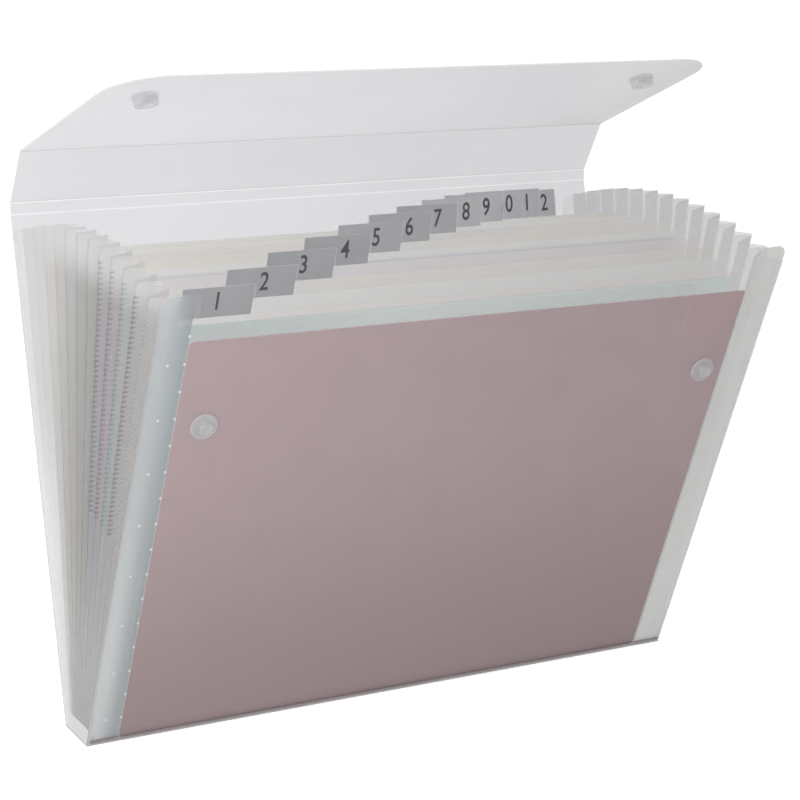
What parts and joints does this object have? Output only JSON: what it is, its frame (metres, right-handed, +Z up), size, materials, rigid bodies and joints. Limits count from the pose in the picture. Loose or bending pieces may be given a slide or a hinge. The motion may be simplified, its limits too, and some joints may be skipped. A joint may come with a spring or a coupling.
{
  "type": "accordion file folder",
  "caption": "Translucent expanding file with pleated sides, tabbed dividers, filed cards and a folding flap with press studs, standing fanned open.",
  "frame": {"origin": "middle of the underside of the base strip", "axes": "+Z up, -Y towards the front cover, +X to the right as seen from the front"},
  "size_m": [0.33, 0.1761, 0.316],
  "materials": {
    "frosted_cover": "translucent polypropylene sheet, fine frosted grain",
    "gusset_film": "translucent polypropylene film, welded and pleated",
    "divider_film": "translucent polypropylene film, satin",
    "clear_sleeve": "clear glossy film",
    "label_card": "grey printed card, matte",
    "stud_plastic": "moulded translucent plastic, satin",
    "pink_card": "dyed card, matte",
    "teal_card": "dyed card, matte",
    "lilac_card": "dyed card, matte",
    "rose_card": "dyed card, matte"
  },
  "bodies": {
    "base": {"base_strip": "frosted_cover", "left_gusset": "gusset_film", "right_gusset": "gusset_film"},
    "front_leaf": {"front_cover": "frosted_cover", "front_stud_left": "stud_plastic", "front_stud_right": "stud_plastic", "front_stud_rivet_left": "stud_plastic", "front_stud_rivet_right": "stud_plastic"},
    "leaf_01": {"divider_01": "divider_film", "tab_sleeve_01": "clear_sleeve", "tab_label_01": "label_card"},
    "leaf_02": {"divider_02": "divider_film", "tab_sleeve_02": "clear_sleeve", "tab_label_02": "label_card"},
    "leaf_03": {"divider_03": "divider_film", "tab_sleeve_03": "clear_sleeve", "tab_label_03": "label_card"},
    "leaf_04": {"divider_04": "divider_film", "tab_sleeve_04": "clear_sleeve", "tab_label_04": "label_card"},
    "leaf_05": {"divider_05": "divider_film", "tab_sleeve_05": "clear_sleeve", "tab_label_05": "label_card", "filed_card_lilac": "lilac_card"},
    "leaf_06": {"divider_06": "divider_film", "tab_sleeve_06": "clear_sleeve", "tab_label_06": "label_card"},
    "leaf_07": {"divider_07": "divider_film", "tab_sleeve_07": "clear_sleeve", "tab_label_07": "label_card"},
    "leaf_08": {"divider_08": "divider_film", "tab_sleeve_08": "clear_sleeve", "tab_label_08": "label_card"},
    "leaf_09": {"divider_09": "divider_film", "tab_sleeve_09": "clear_sleeve", "tab_label_09": "label_card", "filed_card_rose": "rose_card"},
    "leaf_10": {"divider_10": "divider_film", "tab_sleeve_10": "clear_sleeve", "tab_label_10": "label_card"},
    "leaf_11": {"divider_11": "divider_film", "tab_sleeve_11": "clear_sleeve", "tab_label_11": "label_card"},
    "leaf_12": {"divider_12": "divider_film", "tab_sleeve_12": "clear_sleeve", "tab_label_12": "label_card"},
    "back_leaf": {"back_cover": "frosted_cover"},
    "hinge_band": {"flap_hinge_band": "frosted_cover"},
    "spine": {"flap_spine": "frosted_cover"},
    "flap": {"flap_front": "frosted_cover", "flap_socket_left": "stud_plastic", "flap_socket_right": "stud_plastic", "flap_stud_cap_left": "stud_plastic", "flap_stud_cap_right": "stud_plastic"},
    "pink_card": {"filed_card_pink": "pink_card"},
    "teal_card": {"filed_card_teal": "teal_card"}
  },
  "joints": [
    {"name": "bellows", "type": "hinge", "parent": "base", "child": "leaf_06", "pos_m": [0, 0, 0.0114], "axis": [-1, 0, 0], "range_deg": [0, 1.36], "deforming": ["left_gusset", "right_gusset"]},
    {"name": "pocket_06_fold", "type": "hinge", "parent": "leaf_06", "child": "leaf_05", "pos_m": [0, 0, 0.0114], "axis": [-1, 0, 0], "range_deg": [0, 2.73]},
    {"name": "pocket_05_fold", "type": "hinge", "parent": "leaf_05", "child": "leaf_04", "pos_m": [0, 0, 0.0114], "axis": [-1, 0, 0], "range_deg": [0, 2.73]},
    {"name": "pocket_04_fold", "type": "hinge", "parent": "leaf_04", "child": "leaf_03", "pos_m": [0, 0, 0.0114], "axis": [-1, 0, 0], "range_deg": [0, 2.73]},
    {"name": "pocket_03_fold", "type": "hinge", "parent": "leaf_03", "child": "leaf_02", "pos_m": [0, 0, 0.0114], "axis": [-1, 0, 0], "range_deg": [0, 2.73]},
    {"name": "pocket_02_fold", "type": "hinge", "parent": "leaf_02", "child": "leaf_01", "pos_m": [0, 0, 0.0114], "axis": [-1, 0, 0], "range_deg": [0, 2.73]},
    {"name": "pocket_01_fold", "type": "hinge", "parent": "leaf_01", "child": "front_leaf", "pos_m": [0, 0, 0.0114], "axis": [-1, 0, 0], "range_deg": [0, 2.73]},
    {"name": "pocket_07_fold", "type": "hinge", "parent": "leaf_06", "child": "leaf_07", "pos_m": [0, 0, 0.0114], "axis": [-1, 0, 0], "range_deg": [-2.73, 0]},
    {"name": "pocket_08_fold", "type": "hinge", "parent": "leaf_07", "child": "leaf_08", "pos_m": [0, 0, 0.0114], "axis": [-1, 0, 0], "range_deg": [-2.73, 0]},
    {"name": "pocket_09_fold", "type": "hinge", "parent": "leaf_08", "child": "leaf_09", "pos_m": [0, 0, 0.0114], "axis": [-1, 0, 0], "range_deg": [-2.73, 0]},
    {"name": "pocket_10_fold", "type": "hinge", "parent": "leaf_09", "child": "leaf_10", "pos_m": [0, 0, 0.0114], "axis": [-1, 0, 0], "range_deg": [-2.73, 0]},
    {"name": "pocket_11_fold", "type": "hinge", "parent": "leaf_10", "child": "leaf_11", "pos_m": [0, 0, 0.0114], "axis": [-1, 0, 0], "range_deg": [-2.73, 0]},
    {"name": "pocket_12_fold", "type": "hinge", "parent": "leaf_11", "child": "leaf_12", "pos_m": [0, 0, 0.0114], "axis": [-1, 0, 0], "range_deg": [-2.73, 0]},
    {"name": "pocket_13_fold", "type": "hinge", "parent": "leaf_12", "child": "back_leaf", "pos_m": [0, 0, 0.0114], "axis": [-1, 0, 0], "range_deg": [-2.73, 0]},
    {"name": "flap_lower_crease", "type": "hinge", "parent": "back_leaf", "child": "hinge_band", "pos_m": [0, 0.08727, 0.23294], "axis": [-1, 0, 0], "range_deg": [-7.5, 75]},
    {"name": "flap_upper_crease", "type": "hinge", "parent": "hinge_band", "child": "spine", "pos_m": [0, 0.08789, 0.23871], "axis": [-1, 0, 0], "range_deg": [-12.5, 125]},
    {"name": "flap_front_crease", "type": "hinge", "parent": "spine", "child": "flap", "pos_m": [0, 0.0754, 0.26587], "axis": [-1, 0, 0], "range_deg": [-5, 39.5]},
    {"name": "pink_card_lift", "type": "slide", "parent": "front_leaf", "child": "pink_card", "axis": [0, -0.3048, 0.9524], "range_m": [0, 0.03]},
    {"name": "teal_card_lift", "type": "slide", "parent": "leaf_01", "child": "teal_card", "axis": [0, -0.2591, 0.9659], "range_m": [0, 0.03]}
  ],
  "couplings": [
    {"joint": "pocket_06_fold", "follows": "bellows", "ratio": 2},
    {"joint": "pocket_05_fold", "follows": "bellows", "ratio": 2},
    {"joint": "pocket_04_fold", "follows": "bellows", "ratio": 2},
    {"joint": "pocket_03_fold", "follows": "bellows", "ratio": 2},
    {"joint": "pocket_02_fold", "follows": "bellows", "ratio": 2},
    {"joint": "pocket_01_fold", "follows": "bellows", "ratio": 2},
    {"joint": "pocket_07_fold", "follows": "bellows", "ratio": -2},
    {"joint": "pocket_08_fold", "follows": "bellows", "ratio": -2},
    {"joint": "pocket_09_fold", "follows": "bellows", "ratio": -2},
    {"joint": "pocket_10_fold", "follows": "bellows", "ratio": -2},
    {"joint": "pocket_11_fold", "follows": "bellows", "ratio": -2},
    {"joint": "pocket_12_fold", "follows": "bellows", "ratio": -2},
    {"joint": "pocket_13_fold", "follows": "bellows", "ratio": -2}
  ]
}
